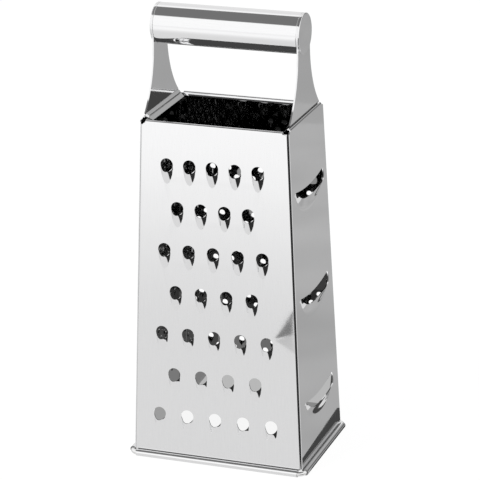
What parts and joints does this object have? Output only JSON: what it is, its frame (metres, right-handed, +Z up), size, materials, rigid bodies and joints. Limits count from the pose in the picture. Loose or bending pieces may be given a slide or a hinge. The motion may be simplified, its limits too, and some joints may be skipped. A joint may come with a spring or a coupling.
{
  "type": "box grater",
  "caption": "Tapered four-sided sheet steel kitchen grater with coarse, slicing, medium and fine sides, a wired base rim and a tube handle on two flared uprights.",
  "frame": {"origin": "centre of the base on the plane that the grater stands on", "axes": "+Z up to the handle, -Y out of the coarse side, +X out of the slicing side, the handle along X"},
  "size_m": [0.1002, 0.0734, 0.24],
  "materials": {
    "sheet_steel": "mirror polished stainless steel sheet",
    "wire_steel": "drawn stainless steel wire",
    "bracket_steel": "mirror polished stainless steel sheet",
    "handle_steel": "mirror polished stainless steel tube"
  },
  "bodies": {
    "root": {"front_panel": "sheet_steel", "right_panel": "sheet_steel", "back_panel": "sheet_steel", "left_panel": "sheet_steel", "base_wire": "wire_steel", "right_upright": "bracket_steel", "left_upright": "bracket_steel", "handle_tube": "handle_steel", "right_end_cap": "handle_steel", "left_end_cap": "handle_steel"}
  },
  "joints": []
}
